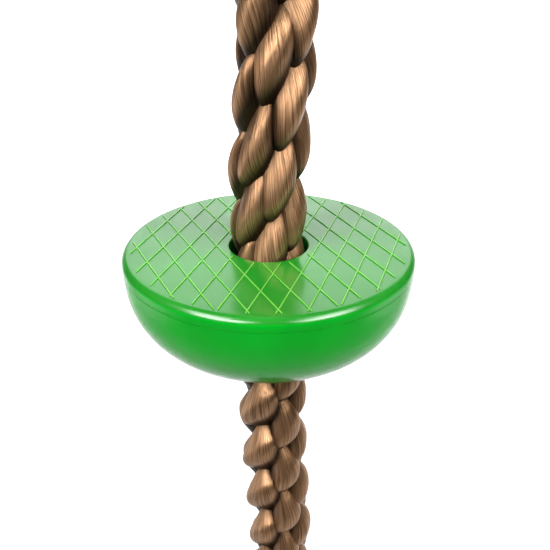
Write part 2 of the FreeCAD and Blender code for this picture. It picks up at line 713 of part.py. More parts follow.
def tread_ridges():
    """Two families of thin raised ridges that cross as diamonds over the tread."""
    ridges = []
    count = int(RIDGE_FIELD_RADIUS / RIDGE_SPACING)
    base = RIDGE_WIDTH / 2
    crest = RIDGE_WIDTH / 4
    root = -RIDGE_HEIGHT
    for lean in (RIDGE_HALF_ANGLE, -RIDGE_HALF_ANGLE):
        for k in range(-count, count + 1):
            offset = k * RIDGE_SPACING
            half = math.sqrt(RIDGE_FIELD_RADIUS ** 2 - offset ** 2)
            section = Part.makePolygon([
                Vector(offset - base, -half, root),
                Vector(offset + base, -half, root),
                Vector(offset + base, -half, 0),
                Vector(offset + crest, -half, RIDGE_HEIGHT),
                Vector(offset - crest, -half, RIDGE_HEIGHT),
                Vector(offset - base, -half, 0),
                Vector(offset - base, -half, root),
            ])
            ridge = Part.Face(section).extrude(Vector(0, 2 * half, 0))
            ridges.append(turned(ridge, lean + RIDGE_TURN))
    return ridges


def tread_cover():
    """The top cover: face, rounded rim, spigot into the bowl, collar round the rope and four screw bosses."""
    edge = TREAD_EDGE_RADIUS
    rim = TREAD_RADIUS
    spigot_outer = rim - BOWL_WALL - SPIGOT_GAP
    spigot_inner = spigot_outer - SPIGOT_THICKNESS
    collar = ROPE_HOLE_RADIUS + COLLAR_WALL
    hole = ROPE_HOLE_RADIUS
    cover = lathe_edges([
        line((hole + HOLE_EDGE_RADIUS, 0), (rim - edge, 0)),
        section_arc((rim - edge, -edge), edge, 90, 0),
        line((rim, -edge), (rim, -SEAM_DEPTH)),
        line((rim, -SEAM_DEPTH), (spigot_outer, -SEAM_DEPTH)),
        line((spigot_outer, -SEAM_DEPTH), (spigot_outer, -SPIGOT_DEPTH)),
        line((spigot_outer, -SPIGOT_DEPTH), (spigot_inner, -SPIGOT_DEPTH)),
        line((spigot_inner, -SPIGOT_DEPTH), (spigot_inner, -TREAD_THICKNESS)),
        line((spigot_inner, -TREAD_THICKNESS), (collar, -TREAD_THICKNESS)),
        line((collar, -TREAD_THICKNESS), (collar, CLAMP_TOP)),
        line((collar, CLAMP_TOP), (hole, CLAMP_TOP)),
        line((hole, CLAMP_TOP), (hole, -HOLE_EDGE_RADIUS)),
        section_arc((hole + HOLE_EDGE_RADIUS, -HOLE_EDGE_RADIUS), HOLE_EDGE_RADIUS, 180, 90),
    ])
    bosses = [
        rod(COVER_BOSS_RADIUS, at_height(place, PILLAR_TOP), at_height(place, -edge))
        for place in pillar_places()
    ]
    hole_plug = rod(hole + 1.5 * HOLE_EDGE_RADIUS, Vector(0, 0, -1), Vector(0, 0, 1))
    ridges = [ridge.cut(hole_plug) for ridge in tread_ridges()]
    pilot_top = SCREW_SEAT + SCREW_LENGTH
    pilots = [
        rod(SCREW_RADIUS, at_height(place, PILLAR_TOP), at_height(place, pilot_top))
        for place in pillar_places()
    ]
    cover = cover.fuse(bosses + ridges).cut(pilots).removeSplitter()
    cover.translate(Vector(0, 0, TREAD_Z))
    return cover


def bowl_shell():
    """The bowl: a thin shell with a rope hole, a seat for the clamp, screw pillars and stiffening ribs."""
    above_seam = rod(TREAD_RADIUS + 1, Vector(0, 0, -SEAM_DEPTH), Vector(0, 0, 0))
    outside = bowl_solid(TREAD_RADIUS, PLATFORM_DEPTH).cut(above_seam)
    inside = bowl_solid(TREAD_RADIUS - BOWL_WALL, PLATFORM_DEPTH - BOWL_FLOOR)
    shell = outside.cut(inside)
    below = -PLATFORM_DEPTH - 1
    seat = rod(CLAMP_RADIUS, Vector(0, 0, below), Vector(0, 0, CLAMP_FLOOR))
    pillars = [
        rod(PILLAR_RADIUS, at_height(place, below), at_height(place, PILLAR_TOP))
        for place in pillar_places()
    ]
    rib = block(
        Vector(ROPE_HOLE_RADIUS, -RIB_THICKNESS / 2, below),
        Vector(TREAD_RADIUS, RIB_THICKNESS / 2, CLAMP_FLOOR),
    )
    ribs = [turned(rib, 360 * k / RIB_COUNT) for k in range(RIB_COUNT)]
    stiffeners = seat.fuse(pillars + ribs).common(outside)
    hole = rod(ROPE_HOLE_RADIUS, Vector(0, 0, below), Vector(0, 0, CLAMP_FLOOR))
    screw_hole = SCREW_RADIUS + SCREW_HOLE_GAP
    cuts = [hole]
    for place in pillar_places():
        cuts.append(rod(screw_hole, at_height(place, SCREW_SEAT), at_height(place, PILLAR_TOP)))
        cuts.append(rod(COUNTERBORE_RADIUS, at_height(place, below), at_height(place, SCREW_SEAT)))
    shell = shell.fuse(stiffeners).cut(cuts).removeSplitter()
    shell.translate(Vector(0, 0, TREAD_Z))
    return shell


def cover_screws():
    """Four pan-head screws, up through the bowl's pillars into the cover's bosses."""
    screw = lathe([
        (0, -SCREW_HEAD_HEIGHT),
        (SCREW_HEAD_RADIUS - SCREW_HEAD_ROUND, -SCREW_HEAD_HEIGHT),
        (SCREW_HEAD_RADIUS, -SCREW_HEAD_HEIGHT + SCREW_HEAD_ROUND),
        (SCREW_HEAD_RADIUS, 0),
        (SCREW_RADIUS, 0),
        (SCREW_RADIUS, SCREW_LENGTH - SCREW_POINT),
        (0, SCREW_LENGTH),
    ])
    reach = SCREW_HEAD_RADIUS - SCREW_HEAD_ROUND
    half = SCREW_DRIVE_WIDTH / 2
    slot = block(
        Vector(-half, -reach, -SCREW_HEAD_HEIGHT),
        Vector(half, reach, SCREW_DRIVE_DEPTH - SCREW_HEAD_HEIGHT),
    )
    screw = screw.cut(slot.fuse(turned(slot, 90)))
    return [along(screw, at_height(place, TREAD_Z + SCREW_SEAT), Z_AXIS) for place in pillar_places()]


def clamp_half(side):
    """One half of the rope clamp: half a collar with three teeth in its bore, and two bolt flanges."""
    reach = CLAMP_FLANGE_REACH
    seat = CLAMP_BOLT_SEAT
    collar = rod(CLAMP_RADIUS, Vector(0, 0, CLAMP_FLOOR), Vector(0, 0, CLAMP_TOP))
    flange = block(
        Vector(-seat, -reach, CLAMP_FLOOR + CLAMP_FLANGE_INSET),
        Vector(seat, reach, CLAMP_TOP - CLAMP_FLANGE_INSET),
    )
    whole = collar.fuse(flange.makeFillet(CLAMP_FLANGE_INSET, upright_edges(flange, X_AXIS)))
    whole = whole.cut(rod(ROPE_RADIUS, Vector(0, 0, CLAMP_FLOOR), Vector(0, 0, CLAMP_TOP)))
    for k in (-1, 0, 1):
        height = CLAMP_MIDDLE + CLAMP_TOOTH_SPACING * k
        tooth = lathe([
            (ROPE_RADIUS + 1, height - CLAMP_TOOTH_HALF),
            (ROPE_RADIUS + 1, height + CLAMP_TOOTH_HALF),
            (ROPE_RADIUS, height + CLAMP_TOOTH_HALF),
            (ROPE_RADIUS - CLAMP_TOOTH, height),
            (ROPE_RADIUS, height - CLAMP_TOOTH_HALF),
        ])
        whole = whole.fuse(tooth)
    for y in (-CLAMP_BOLT_Y, CLAMP_BOLT_Y):
        bolt_hole = rod(CLAMP_BOLT_RADIUS, Vector(-seat, y, CLAMP_MIDDLE), Vector(seat, y, CLAMP_MIDDLE))
        whole = whole.cut(bolt_hole)
    near = side * CLAMP_SPLIT / 2
    far = side * CLAMP_RADIUS
    keep = block(Vector(min(near, far), -reach, CLAMP_FLOOR), Vector(max(near, far), reach, CLAMP_TOP))
    half = whole.common(keep).removeSplitter()
    half.translate(Vector(0, 0, TREAD_Z))
    return half


def beside_rope(piece, x):
    """Two copies of a piece along +X, one at each of the clamp's bolt holes."""
    height = TREAD_Z + CLAMP_MIDDLE
    return [along(piece, Vector(x, y, height), X_AXIS) for y in (-CLAMP_BOLT_Y, CLAMP_BOLT_Y)]


def clamp_bolts():
    grip = 2 * CLAMP_BOLT_SEAT + CLAMP_NUT_HEIGHT + CLAMP_BOLT_TAIL
    return beside_rope(hex_bolt(CLAMP_BOLT_RADIUS, CLAMP_BOLT_FLATS, CLAMP_BOLT_HEAD, grip), -CLAMP_BOLT_SEAT)


def clamp_nuts():
    return beside_rope(hex_nut(CLAMP_BOLT_RADIUS, CLAMP_BOLT_FLATS, CLAMP_NUT_HEIGHT), CLAMP_BOLT_SEAT)


NODES = {
    "hanger_bracket": [hanger_bracket()],
    "pivot_bolt": [pivot_bolt()],
    "pivot_nut": [pivot_nut()],
    "pivot_washers": pivot_washers(),
    "hanger_link": [hanger_link()],
    "link_bushes": link_bushes(),
    "carabiner_body": [carabiner_body()],
    "gate_rivet": [rivet(0)],
    "carabiner_gate": [carabiner_gate()],
    "gate_spring": [gate_spring()],
    "lock_sleeve": [lock_sleeve()],
    "swivel_eye": [swivel_eye()],
    "thrust_washer": [thrust_washer()],
    "swivel_nut": [swivel_nut()],
    "swivel_bush": [swivel_bush()],
    "rope_socket": [rope_socket()],
    "socket_bolts": socket_bolts(),
    "socket_nuts": socket_nuts(),
    "rope": [rope()],
    "end_boot": [end_boot()],
    "boot_band": [boot_band()],
    "tread_cover": [tread_cover()],
    "bowl_shell": [bowl_shell()],
    "cover_screws": cover_screws(),
    "clamp_half_left": [clamp_half(-1)],
    "clamp_half_right": [clamp_half(1)],
    "clamp_bolts": clamp_bolts(),
    "clamp_nuts": clamp_nuts(),
}

for node, solids in NODES.items():
    save(node, solids)

print(f"tread face at {TREAD_Z:.1f}, socket mouth at {SOCKET_MOUTH:.1f}, lowest point {BOOT_BOTTOM:.1f}")
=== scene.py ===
import json
import math

import bpy
from mathutils import Matrix, Vector, noise


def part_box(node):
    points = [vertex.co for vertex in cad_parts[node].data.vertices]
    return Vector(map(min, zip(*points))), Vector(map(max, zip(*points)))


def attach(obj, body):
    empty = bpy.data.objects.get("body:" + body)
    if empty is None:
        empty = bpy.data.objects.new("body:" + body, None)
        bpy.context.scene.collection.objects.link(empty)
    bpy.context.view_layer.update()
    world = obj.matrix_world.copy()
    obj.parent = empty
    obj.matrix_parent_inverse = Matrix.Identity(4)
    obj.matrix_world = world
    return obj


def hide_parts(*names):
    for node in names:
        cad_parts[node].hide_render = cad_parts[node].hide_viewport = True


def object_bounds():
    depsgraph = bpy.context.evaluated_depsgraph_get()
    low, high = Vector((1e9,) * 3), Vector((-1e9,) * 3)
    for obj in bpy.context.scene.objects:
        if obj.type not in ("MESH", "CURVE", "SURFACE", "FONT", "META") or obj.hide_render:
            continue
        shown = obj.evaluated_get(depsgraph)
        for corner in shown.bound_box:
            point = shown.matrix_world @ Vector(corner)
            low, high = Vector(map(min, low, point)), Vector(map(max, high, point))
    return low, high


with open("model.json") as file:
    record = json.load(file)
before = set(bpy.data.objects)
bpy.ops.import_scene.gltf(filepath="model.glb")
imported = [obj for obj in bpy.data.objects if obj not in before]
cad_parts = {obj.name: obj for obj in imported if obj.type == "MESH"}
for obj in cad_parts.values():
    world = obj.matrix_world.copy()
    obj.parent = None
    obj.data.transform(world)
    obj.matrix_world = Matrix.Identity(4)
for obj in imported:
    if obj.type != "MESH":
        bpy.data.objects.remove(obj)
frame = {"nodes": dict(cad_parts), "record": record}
cad_low, cad_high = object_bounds()

# A climbing rope with a green foot platform. Metres, +Z up, in the frame of the CAD model: the origin is
# the centre of the hanger's upper face, X runs left to right and Y runs from the front to the back.

MM = 0.001

# Places read from the frame
ROPE_LOW, ROPE_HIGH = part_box("rope")
SOCKET_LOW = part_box("rope_socket")[0]
BOOT_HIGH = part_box("end_boot")[1]
TREAD_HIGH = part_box("tread_cover")[1]
SEAM_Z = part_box("bowl_shell")[1].z
COLLAR_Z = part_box("clamp_half_left")[1].z
RIDGE_HEIGHT = 0.45 * MM        # the cover's highest points are its ridges
TREAD_Z = TREAD_HIGH.z - RIDGE_HEIGHT
TREAD_RADIUS = TREAD_HIGH.x

# Camera, placed from the middle of the tread
CAMERA_OFFSET = Vector((2.6, -261.9, 124.9)) * MM
CAMERA_PITCH_DOWN = math.radians(28.04)
CAMERA_LENS = 45.94
SENSOR = 36.0
CLIP_START = 0.01
CLIP_END = 50

# Floor and wall
FLOOR_DROP = 0.45
FLOOR_HALF = 6.0
WALL_Y = 2.8
WALL_TOP = 3.0
SWEEP_RADIUS = 1.2
SWEEP_STEPS = 24
FLOOR_GREY = 0.9
FLOOR_ROUGHNESS = 0.9

# Light: each softbox has a name, a place, a width and a height, its power in watts and its spread in
# degrees. They face the middle of the tread. The wash lights the floor and the wall behind.
WORLD_STRENGTH = 0.035
SOFTBOXES = [
    ("left_softbox", (-0.72, -0.92, 0.45), (1.0, 0.65), 4.0, 60),
    ("right_softbox", (0.84, -0.82, 0.45), (1.0, 0.65), 3.3, 60),
    ("top_left_softbox", (-0.95, -0.55, 1.1), (0.8, 0.8), 1.9, 60),
    ("top_right_softbox", (1.0, -0.50, 1.1), (0.8, 0.8), 1.6, 60),
    ("left_low_softbox", (-1.1, 0.1, -0.9), (1.1, 1.1), 0.55, 50),
    ("right_low_softbox", (1.1, 0.1, -0.9), (1.1, 1.1), 0.55, 50),
    ("back_softbox", (0, 2.3, 1.0), (3.4, 1.3), 24, 180),
]
WASH_PLACE = (0, 1.3, 1.3)
WASH_TARGET = (0, 2.4, -1.2)
WASH_SIZE = (2.4, 1.6)
WASH_POWER = 50
WASH_SPREAD = 90

# Rope: twelve strands pass in and out, so that their lobes stand in six upright columns. Neighbouring
# columns are half a pitch apart, and the lobes of one column come from two sets of strands in turn.
COLUMNS = 6
WAVE = 2.0                     # the length of a strand's wave, in pitches
SIDE_STEP = 2                  # columns that a strand moves round in one wave
LOBE_PITCH = 27.4 * MM         # between the lobes of one column
CREST_ABOVE = 5.0 * MM         # a lobe's height over the tread, above the platform
CREST_BELOW = -8.5 * MM        # the same for the rope below it
TURN_ABOVE = -84.0             # the first column's direction at the tread, in degrees
TURN_BELOW = -38.5
TWIST_ABOVE = 620.0            # degrees in a metre
TWIST_BELOW = 250.0
PLATFORM_MIDDLE = -23.0 * MM   # under the tread, where the rope's two parts join unseen
JOIN_LENGTH = 40.0 * MM

# The rope isn't quite straight: mm to the right and mm over the tread, from the top to the bottom
ROPE_BENDS = [(3.6, 80), (-0.4, 40), (0, -25), (1.8, -110), (5.2, -150), (5.2, -180)]
GRIP_BEND = 1 * MM             # to the right, at the socket's mouth and at the boot's rim
ROUTE_RESOLUTION = 64

# One strand's shape along a whole wave, which is two pitches long. Each row gives the place in pitches from
# the lobe's middle, how far out the strand reaches, half its width, half its depth (mm), and how far it
# has moved sideways, in columns.
STRAND_SHAPE = [
    (-0.95, 5.5, 3.0, 2.8, -0.80),
    (-0.76, 6.3, 3.2, 3.0, 0.16),
    (-0.60, 8.2, 3.4, 3.4, 0.30),
    (-0.48, 11.2, 4.5, 4.2, 0.25),
    (-0.34, 14.0, 6.0, 5.2, 0.16),
    (-0.15, 15.8, 7.0, 6.0, 0.06),
    (0.04, 15.7, 7.0, 6.0, -0.02),
    (0.22, 14.2, 6.5, 5.2, -0.09),
    (0.40, 11.7, 5.4, 4.2, -0.16),
    (0.60, 8.8, 4.0, 3.0, -0.20),
    (0.85, 6.5, 2.8, 2.6, 0.15),
]
# The same for the rope below the platform, whose lobes are leaves with a pointed top
LEAF_SHAPE = [
    (-0.95, 5.5, 2.6, 2.8, -0.80),
    (-0.78, 5.8, 2.6, 2.8, 0.10),
    (-0.62, 6.4, 3.0, 3.0, 0.14),
    (-0.48, 8.0, 4.2, 3.8, 0.12),
    (-0.33, 11.4, 5.8, 5.0, 0.08),
    (-0.16, 14.9, 7.3, 6.2, 0.04),
    (0.04, 16.0, 7.7, 6.4, 0.0),
    (0.22, 15.5, 6.6, 6.0, -0.04),
    (0.40, 13.3, 4.8, 4.8, -0.07),
    (0.56, 10.6, 3.0, 3.6, -0.10),
    (0.72, 7.6, 1.6, 2.6, -0.10),
    (0.88, 6.0, 2.0, 2.6, 0.15),
]
# Lobes that don't lie in step with the rest: strand and wave, then how far up (mm) and how far round
# (degrees)
NUDGES = {
    (9, -1): (4.5, 3),
    (7, -1): (-3.5, -3),
    (8, -1): (5, 8),
    (10, -1): (6, 18),
    (11, -1): (12, 20),
    (6, 0): (4, 0),
    (5, 0): (2.5, 0),
    (4, 0): (0, -4),
    (2, 0): (-2, -3),
    (0, 0): (-4.5, -3),
    (5, -1): (-2, 8),
    (1, 0): (-4, -10),
}
# The lower rope's columns aren't even either: mm up, degrees round, width as a share of the usual, and
# more tilt
LOWER_COLUMNS = {
    0: (0, 8, 0.90, 0),
    4: (0, -14, 0.85, 0),
    5: (-2.5, -8, 1.25, 0.45),
}
EVEN_COLUMN = (0, 0, 1, 0)
NUDGE_REACH = 0.9              # pitches from the lobe's middle, where its nudge has faded out
SECTION_SQUARENESS = 2.25
SECTION_POINTS = 48
SECTION_CROWDING = 0.35        # radians by which the points of a section move to its inner side
TILT_ABOVE = 1.15              # rise of a section from its left side to its right, over its width
TILT_BELOW = 0.40
LEAN_BELOW = 0.20              # columns in a pitch by which the lower lobes lean more to the right
RING_SPACING = 0.9 * MM
GRIP_RAMP = 5.0 * MM           # the length over which the rope narrows before the socket and the boot
GRIP_CLEARANCE = 0.1 * MM
YARN_RELIEF = 0.07 * MM
YARNS_ROUND = 9.0              # noise cells from the middle of a section to its edge
YARNS_ALONG = 40               # noise cells in a metre of rope
YARN_SHIFT = 7                 # noise cells from one strand to the next
UPPER_LOBE_PAINTED_LIGHT = 5.5 * MM      # openness added one pitch further up, which paints the upper half of a lobe lighter and the lower half darker
LOBE_HALF = 0.5                # pitches

# Rope material: painted shade makes the creases darker than the open crests
FIBRE_SCALE = (130, 50, 1)     # noise cells round a strand and in a metre of rope
FIBRE_DARK = (0.085, 0.042, 0.016)
FIBRE_LIGHT = (0.50, 0.275, 0.14)
CREASE_OPEN = 10.5 * MM        # openness where the painted crease shade is darkest
CREST_OPEN = 15.2 * MM         # openness with no painted shade
# the darkest painted crease shade, as a share of the yarn colour
CREASE_SHADE = 0.12

# Platform
TREAD_EDGE_RADIUS = 3.2 * MM
HOLE_RADIUS = 16.2 * MM
HOLE_EDGE_RADIUS = 0.8 * MM
SEAM_EDGE_RADIUS = 0.3 * MM
COVER_WALL = 3.0 * MM
COVER_THICKNESS = 3.5 * MM
COLLAR_WALL = 2.7 * MM
TREAD_RINGS = 12
COVER_SIDES = 192
HOLE_EDGE_STEPS = 6
TREAD_EDGE_STEPS = 12
SEAM_EDGE_STEPS = 4
SHARP_ANGLE = math.radians(50)
RIDGE_SPACING = 10.0 * MM
RIDGE_WIDTH = 0.8 * MM
RIDGE_SINK = 0.05 * MM         # how far a ridge's foot lies under the tread
RIDGE_FIELD_RADIUS = 56.5 * MM
RIDGE_DIRECTIONS = (26, -18)   # degrees from the Y axis
RIDGE_END_STEPS = (0, 0.1 * MM, 0.3 * MM, 0.7 * MM, 1.2 * MM)
RIDGE_SIDES = 8
RIM_SLOPE = 0.35               # a face whose normal rises less than this belongs to the rim, which takes the plastic painted lighter
# One plastic in two copies: painted darker on the up-facing tread and painted lighter on the rim and the
# bowl; the tread's copy also reflects more
TREAD_SPECULAR = 0.74
BOWL_SPECULAR = 0.25
TREAD_GREEN_PAINTED_DARKER = (0.012, 0.21, 0.014)
BOWL_GREEN_PAINTED_LIGHTER = (0.001, 0.29, 0.012)
# Painted highlight colour for the ridge tops
RIDGE_PAINTED_HIGHLIGHT = (0.17, 0.56, 0.05)
MOTTLE_SHADE = 0.86            # the mottling's darker tone, as a share of the colour
RIDGE_HIGHLIGHT_SHARE = 0.7           # how far a ridge's top takes the painted highlight colour


# ---- Camera, floor and light ----

def make_camera():
    """In front of the platform, looking down on it."""
    data = bpy.data.cameras.new("camera")
    data.sensor_width = SENSOR
    data.lens = CAMERA_LENS
    data.clip_start = CLIP_START
    data.clip_end = CLIP_END
    camera = bpy.data.objects.new("camera", data)
    camera.location = Vector((0, 0, TREAD_Z)) + CAMERA_OFFSET
    camera.rotation_euler = (math.pi / 2 - CAMERA_PITCH_DOWN, 0, 0)
    bpy.context.scene.collection.objects.link(camera)
    bpy.context.scene.camera = camera


def principled(name):
    """A new material and its shader."""
    material = bpy.data.materials.new(name)
    material.use_nodes = True
    return material, material.node_tree.nodes["Principled BSDF"]


def new_piece(name, vertices, faces):
    """A smooth mesh piece, linked into the scene."""
    mesh = bpy.data.meshes.new(name)
    mesh.from_pydata(vertices, [], faces)
    mesh.shade_smooth()
    piece = bpy.data.objects.new(name, mesh)
    bpy.context.scene.collection.objects.link(piece)
    return piece


def make_floor():
    """A pale floor that sweeps up into a wall behind the object."""
    material, shader = principled("floor_paint")
    shader.inputs["Base Color"].default_value = (FLOOR_GREY, FLOOR_GREY, FLOOR_GREY, 1)
    shader.inputs["Roughness"].default_value = FLOOR_ROUGHNESS
    drop = cad_low.z - FLOOR_DROP
    profile = [(-FLOOR_HALF, drop), (WALL_Y - SWEEP_RADIUS, drop)]
    for k in range(1, SWEEP_STEPS + 1):
        angle = math.pi / 2 * k / SWEEP_STEPS
        profile.append((
            WALL_Y - SWEEP_RADIUS * (1 - math.sin(angle)),
            drop + SWEEP_RADIUS * (1 - math.cos(angle)),
        ))
    profile.append((WALL_Y, WALL_TOP))
    vertices = []
    for y, z in profile:
        vertices += [(-FLOOR_HALF, y, z), (FLOOR_HALF, y, z)]
    faces = [(2 * k, 2 * k + 1, 2 * k + 3, 2 * k + 2) for k in range(len(profile) - 1)]
    floor = new_piece("floor", vertices, faces)
    floor.data.materials.append(material)


def area_light(name, location, target, size, power, spread):
    """A rectangular lamp that faces its target."""
    data = bpy.data.lights.new(name, "AREA")
    data.shape = "RECTANGLE"
    data.size, data.size_y = size
    data.energy = power
    data.spread = math.radians(spread)
    lamp = bpy.data.objects.new(name, data)
    lamp.location = location
    lamp.rotation_mode = "QUATERNION"
    lamp.rotation_quaternion = (Vector(target) - Vector(location)).to_track_quat("-Z", "Y")
    bpy.context.scene.collection.objects.link(lamp)


def make_light():
    """Softboxes on both sides, a bright wall behind, and very little light from the room."""
    world = bpy.data.worlds.new("studio")
    bpy.context.scene.world = world
    world.use_nodes = True
    background = world.node_tree.nodes["Background"]
    background.inputs["Color"].default_value = (1, 1, 1, 1)
    background.inputs["Strength"].default_value = WORLD_STRENGTH
    middle = (0, 0, TREAD_Z)
    for name, place, size, power, spread in SOFTBOXES:
        area_light(name, place, middle, size, power, spread)
    area_light("floor_wash", WASH_PLACE, WASH_TARGET, WASH_SIZE, WASH_POWER, WASH_SPREAD)
    bpy.context.scene.view_settings.view_transform = "Standard"


# ---- Rope ----

def rope_line():
    """The rope's route as a smooth spline, and the points that its strands follow."""
    route = [Vector((0, 0, ROPE_HIGH.z)), Vector((GRIP_BEND, 0, SOCKET_LOW.z))]
    route += [Vector((right * MM, 0, TREAD_Z + height * MM)) for right, height in ROPE_BENDS]
    route += [Vector((GRIP_BEND, 0, BOOT_HIGH.z)), Vector((0, 0, ROPE_LOW.z))]
    curve = bpy.data.curves.new("rope_route", "CURVE")
    curve.dimensions = "3D"
    curve.resolution_u = ROUTE_RESOLUTION
    spline = curve.splines.new("NURBS")
    spline.points.add(len(route) - 1)
    for point, place in zip(spline.points, route):
        point.co = (*place, 1)
    spline.order_u = 3
    spline.use_endpoint_u = True
    holder = bpy.data.objects.new("rope_route", curve)
    bpy.context.scene.collection.objects.link(holder)
    mesh = bpy.data.meshes.new_from_object(holder)
    points = [vertex.co.copy() for vertex in mesh.vertices]
    bpy.data.objects.remove(holder)
    bpy.data.meshes.remove(mesh)
    return points


def point_at(points, z):
    """The place on the rope's middle line at a height, which falls along the line."""
    for upper, lower in zip(points, points[1:]):
        if lower.z <= z:
            share = (upper.z - z) / max(upper.z - lower.z, 1e-9)
            return upper.lerp(lower, share)
    return points[-1].copy()


def smooth_share(value):
    """0 below 0, 1 above 1, and a smooth rise between them."""
    value = min(max(value, 0.0), 1.0)
    return value * value * (3 - 2 * value)


def blend(first, second, share):
    return first + (second - first) * share


def strand_shape(rows, place):
    """The strand's reach, half width, half depth and sideways place, at a place in pitches, from a smooth
    curve through the rows that repeats with each wave."""
    waves = math.floor((place - rows[0][0]) / WAVE)
    local = place - waves * WAVE
    count = len(rows)

    def row(k):
        turn, index = divmod(k, count)
        where, reach, width, depth, sideways = rows[index]
        return (where + turn * WAVE, reach, width, depth, sideways + turn * SIDE_STEP)

    k = max(index for index in range(count) if rows[index][0] <= local)
    before, start, end, after = row(k - 1), row(k), row(k + 1), row(k + 2)
    gap = end[0] - start[0]
    t = (local - start[0]) / gap
    values = []
    for column in range(1, 5):
        leave = (end[column] - before[column]) / (end[0] - before[0]) * gap
        arrive = (after[column] - start[column]) / (after[0] - start[0]) * gap
        values.append(
            (2 * t ** 3 - 3 * t ** 2 + 1) * start[column]
            + (t ** 3 - 2 * t ** 2 + t) * leave
            + (3 * t ** 2 - 2 * t ** 3) * end[column]
            + (t ** 3 - t ** 2) * arrive
        )
    reach, width, depth, sideways = values
    return Vector((reach * MM, width * MM, depth * MM, sideways + waves * SIDE_STEP))


def pressed(place):
    """A point of a strand, held in to the rope's own radius where the socket or the boot grips it."""
    into_socket = (place.z - SOCKET_LOW.z) / GRIP_RAMP + 1
    into_boot = (BOOT_HIGH.z - place.z) / GRIP_RAMP + 1
    reach = math.hypot(place.x, place.y)
    limit = ROPE_HIGH.x - GRIP_CLEARANCE
    if reach <= limit:
        return place
    scale = 1 + (limit / reach - 1) * smooth_share(max(into_socket, into_boot))
    return Vector((place.x * scale, place.y * scale, place.z))


def section_outline():
    """A strand's section: for each point its angle, and its place across and outward from -1 to 1."""
    power = 2 / SECTION_SQUARENESS
    outline = []
    for k in range(SECTION_POINTS):
        angle = 2 * math.pi * k / SECTION_POINTS - math.pi / 2
        angle -= SECTION_CROWDING * math.cos(angle)
        across = math.copysign(abs(math.cos(angle)) ** power, math.cos(angle))
        outward = math.copysign(abs(math.sin(angle)) ** power, math.sin(angle))
        outline.append((angle, across, outward))
    return outline


def strand_ring(strand, z, middle, outline):
    """The points of one slice through a strand, and its distance in pitches from the lobe's middle."""
    column = strand % 2
    height = z - TREAD_Z
    below = smooth_share((PLATFORM_MIDDLE - height) / JOIN_LENGTH + 0.5)
    crest = blend(CREST_ABOVE, CREST_BELOW, below)
    place = (height - crest) / LOBE_PITCH - strand / 2
    wave = round(place / WAVE)
    nearness = smooth_share(1 - abs(place - wave * WAVE) / NUDGE_REACH)
    lift, swing = NUDGES.get((strand, wave), (0, 0))
    lobe_column = (column + SIDE_STEP * wave) % COLUMNS
    rise, slew, girth, slope = LOWER_COLUMNS.get(lobe_column, EVEN_COLUMN)
    place -= (lift + rise * below) * MM / LOBE_PITCH * nearness
    from_crest = place - wave * WAVE
    shape = strand_shape(STRAND_SHAPE, place).lerp(strand_shape(LEAF_SHAPE, place), below)
    reach, width, depth, sideways = shape
    width *= blend(1, girth, below * nearness)
    sideways += LEAN_BELOW * below * from_crest * nearness
    tilt = blend(TILT_ABOVE, TILT_BELOW, below) + slope * below * nearness
    turn = math.radians(
        360 * (column + sideways) / COLUMNS
        + blend(TURN_ABOVE + TWIST_ABOVE * height, TURN_BELOW + TWIST_BELOW * height, below)
        + (swing + slew * below) * nearness
    )
    out = Vector((math.cos(turn), math.sin(turn), 0))
    aside = Vector((-out.y, out.x, 0))
    centre = middle + out * (reach - depth)
    along = YARNS_ALONG * z + YARN_SHIFT * strand
    ring = []
    for angle, across, outward in outline:
        spot = (YARNS_ROUND * math.cos(angle), YARNS_ROUND * math.sin(angle), along)
        swell = YARN_RELIEF * noise.noise(spot)
        offset = (width + swell) * across
        point = centre + aside * offset + out * (depth + swell) * outward
        point.z = min(max(z + tilt * offset, ROPE_LOW.z), ROPE_HIGH.z)
        ring.append(pressed(point))
    return ring, min(max(from_crest, -LOBE_HALF), LOBE_HALF)


def rope_strands(points):
    """All twelve strands as one mesh, with two things for the material. The UV map runs round and along
    each strand. The attribute "open" drives painted shade: it is a vertex's distance from the rope's middle
    line, a little more on the upper half of a lobe than on the lower, and the material paints low values
    darker."""
    vertices = []
    painted_shade_openness = []
    faces = []
    corners = []
    outline = section_outline()
    top = points[0].z
    bottom = points[-1].z
    rings = int((top - bottom) / RING_SPACING)
    step = (top - bottom) / rings
    for strand in range(2 * COLUMNS):
        first = len(vertices)
        for ring in range(rings + 1):
            z = top - ring * step
            middle = point_at(points, z)
            places, from_crest = strand_ring(strand, z, middle, outline)
            vertices += places
            for place in places:
                # For the painted shade: deep points and the lower half of a lobe get lower values, so the
                # material darkens them
                reach = math.hypot(place.x - middle.x, place.y - middle.y)
                painted_shade_openness.append(reach + UPPER_LOBE_PAINTED_LIGHT * from_crest)
        for ring in range(rings):
            for k in range(SECTION_POINTS):
                after = (k + 1) % SECTION_POINTS
                low = first + ring * SECTION_POINTS
                high = low + SECTION_POINTS
                faces.append((low + k, low + after, high + after, high + k))
                u = strand + k / SECTION_POINTS
                v = ring * step
                corners += [(u, v), (u + 1 / SECTION_POINTS, v)]
                corners += [(u + 1 / SECTION_POINTS, v + step), (u, v + step)]
    piece = new_piece("rope_strands", vertices, faces)
    layer = piece.data.uv_layers.new(name="fibres")
    layer.data.foreach_set("uv", [value for corner in corners for value in corner])
    piece.data.attributes.new("open", "FLOAT", "POINT").data.foreach_set("value", painted_shade_openness)
    return piece


def make_rope():
    """The braided rope, which stands for the CAD model's plain bar."""
    points = rope_line()
    piece = rope_strands(points)
    piece.data.materials.append(fibre_material())
    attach(piece, "climbing_rope")
    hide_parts("rope")


# ---- Platform ----

def arc(centre, radius, start, end, steps):
    """Points on an arc of a lathe section, as distances from the axis and heights."""
    points = []
    for k in range(steps + 1):
        angle = math.radians(start + (end - start) * k / steps)
        points.append((centre[0] + radius * math.cos(angle), centre[1] + radius * math.sin(angle)))
    return points


